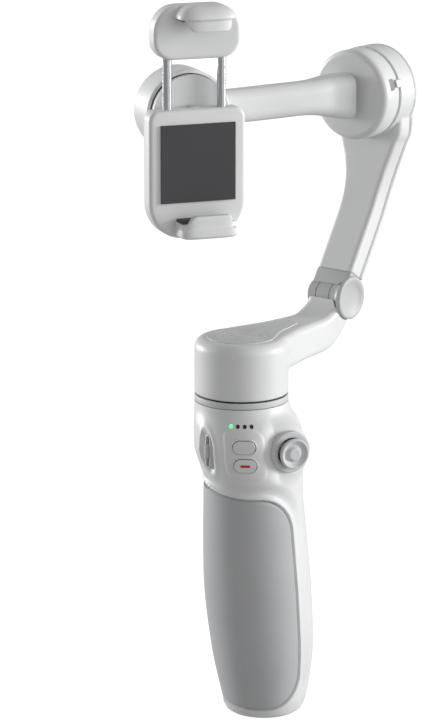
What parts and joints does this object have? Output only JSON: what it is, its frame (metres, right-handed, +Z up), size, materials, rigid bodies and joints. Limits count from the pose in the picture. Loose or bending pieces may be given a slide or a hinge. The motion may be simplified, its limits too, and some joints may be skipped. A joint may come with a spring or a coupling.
{
  "type": "gimbal stabilizer",
  "caption": "Hand-held phone gimbal stabilizer: gripped handle with controls and extension rod, pan motor, folding arm, tilt and roll motors, and a sprung phone clamp.",
  "frame": {"origin": "mouth of the tripod thread, at the centre of the handle's foot", "axes": "+Z up along the handle, -Y towards the operator (the clamp faces -Y), +X to the operator's right, where the arm rises"},
  "size_m": [0.1225, 0.0932, 0.2774],
  "materials": {
    "white_shell": "satin moulded",
    "grey_grip": "soft matte",
    "light_grey": "satin moulded",
    "mid_grey": "satin moulded",
    "dark_plastic": "matte",
    "steel": "ground",
    "copper_winding": "enamelled wire",
    "magnet": "nickel plated",
    "brass": "turned",
    "green_light": "lit diode",
    "red_mark": "printed",
    "board": "solder mask",
    "cell_sleeve": "shrink sleeve",
    "flat_cable": "flexible circuit",
    "pad_rubber": "matte"
  },
  "bodies": {
    "handle": {"handle_shell": "white_shell", "grip_panel": "grey_grip", "base_cap": "light_grey", "thread_insert": "brass", "neck_plate": "dark_plastic", "control_panel": "white_shell", "led_lit": "green_light", "leds_unlit": "dark_plastic", "joystick_collar": "light_grey", "zoom_bezel": "light_grey", "trigger_pin": "steel", "usb_socket": "dark_plastic", "battery_cell": "cell_sleeve", "main_board": "board", "button_switches": "dark_plastic", "rod_guide_tube": "steel"},
    "rod_stage_1": {"rod_section_1": "steel"},
    "rod_stage_2": {"rod_section_2": "steel"},
    "rod_top": {"rod_section_3": "steel", "pan_collar": "mid_grey", "pan_stator": "copper_winding", "pan_bearing": "steel"},
    "pan_arm": {"pan_housing": "white_shell", "pan_inlay": "light_grey", "pan_magnets": "magnet", "pan_shaft": "steel", "hinge_knuckle": "mid_grey", "hinge_cap": "mid_grey", "hinge_pin": "steel"},
    "tilt_arm": {"hinge_barrel": "mid_grey", "upper_arm": "white_shell", "arm_cover": "white_shell", "arm_cable": "flat_cable", "tilt_stator": "copper_winding", "tilt_bearing": "steel", "tilt_stop": "white_shell"},
    "cross_link": {"tilt_rotor": "white_shell", "tilt_magnets": "magnet", "tilt_shaft": "steel", "cross_arm": "white_shell", "roll_stator": "copper_winding", "roll_bearing": "steel", "roll_cover": "light_grey"},
    "clamp": {"roll_magnets": "magnet", "roll_shaft": "steel", "clamp_body": "white_shell", "lower_jaw": "white_shell", "jaw_pads": "pad_rubber", "clamp_springs": "steel"},
    "jaw": {"upper_jaw": "white_shell", "clamp_rods": "steel", "upper_pad": "pad_rubber"},
    "mode_key": {"mode_button": "white_shell"},
    "record_key": {"record_button": "white_shell", "record_mark": "red_mark"},
    "power_key": {"power_button": "light_grey"},
    "stick_yoke": {"joystick_yoke": "dark_plastic"},
    "stick": {"joystick_cap": "mid_grey"},
    "zoom_key": {"zoom_slider": "mid_grey"},
    "trigger_key": {"trigger": "light_grey"}
  },
  "joints": [
    {"name": "rod_slide_1", "type": "slide", "parent": "handle", "child": "rod_stage_1", "axis": [0, 0, 1], "range_m": [0, 0.0717]},
    {"name": "rod_slide_2", "type": "slide", "parent": "rod_stage_1", "child": "rod_stage_2", "axis": [0, 0, 1], "range_m": [0, 0.0717]},
    {"name": "rod_slide_3", "type": "slide", "parent": "rod_stage_2", "child": "rod_top", "axis": [0, 0, 1], "range_m": [0, 0.0717]},
    {"name": "pan", "type": "hinge", "parent": "rod_top", "child": "pan_arm", "pos_m": [-0.00528, 0.01133, 0.126], "axis": [0, 0, 1], "range_deg": [-150, 150]},
    {"name": "fold", "type": "hinge", "parent": "pan_arm", "child": "tilt_arm", "pos_m": [0.04486, 0.04146, 0.154], "axis": [-0.515, 0.8572, 0], "range_deg": [0, 120]},
    {"name": "tilt", "type": "hinge", "parent": "tilt_arm", "child": "cross_link", "pos_m": [0.05472, 0.04738, 0.2333], "axis": [0.8572, 0.515, 0], "range_deg": [-100, 100]},
    {"name": "roll", "type": "hinge", "parent": "cross_link", "child": "clamp", "pos_m": [-0.02128, 0.02633, 0.2333], "axis": [0, 1, 0], "range_deg": [-90, 90]},
    {"name": "jaw_slide", "type": "slide", "parent": "clamp", "child": "jaw", "axis": [0, 0, 1], "range_m": [-0.018, 0.012], "deforming": ["clamp_springs"]},
    {"name": "mode_press", "type": "slide", "parent": "handle", "child": "mode_key", "axis": [0.4226, 0.9063, 0], "range_m": [0, 0.0006], "stiffness_N_per_m": 600},
    {"name": "record_press", "type": "slide", "parent": "handle", "child": "record_key", "axis": [0.4226, 0.9063, 0], "range_m": [0, 0.0006], "stiffness_N_per_m": 600},
    {"name": "power_press", "type": "slide", "parent": "handle", "child": "power_key", "axis": [-0.9903, -0.1392, 0], "range_m": [0, 0.0006], "stiffness_N_per_m": 600},
    {"name": "stick_pitch", "type": "hinge", "parent": "handle", "child": "stick_yoke", "pos_m": [0.0051, -0.00467, 0.1068], "axis": [0.9945, 0.1045, 0], "range_deg": [-7, 7], "stiffness_Nm_per_rad": 0.05},
    {"name": "stick_yaw", "type": "hinge", "parent": "stick_yoke", "child": "stick", "pos_m": [0.0051, -0.00467, 0.1068], "axis": [0, 0, 1], "range_deg": [-7, 7], "stiffness_Nm_per_rad": 0.05},
    {"name": "zoom_shift", "type": "slide", "parent": "handle", "child": "zoom_key", "axis": [0, 0, 1], "range_m": [-0.0025, 0.0025], "stiffness_N_per_m": 300},
    {"name": "trigger_pull", "type": "hinge", "parent": "handle", "child": "trigger_key", "pos_m": [0.00417, 0.02097, 0.104], "axis": [-0.9063, 0.4226, 0], "range_deg": [0, 6], "stiffness_Nm_per_rad": 0.4}
  ],
  "couplings": [
    {"joint": "rod_slide_2", "follows": "rod_slide_1", "ratio": 1},
    {"joint": "rod_slide_3", "follows": "rod_slide_1", "ratio": 1}
  ]
}
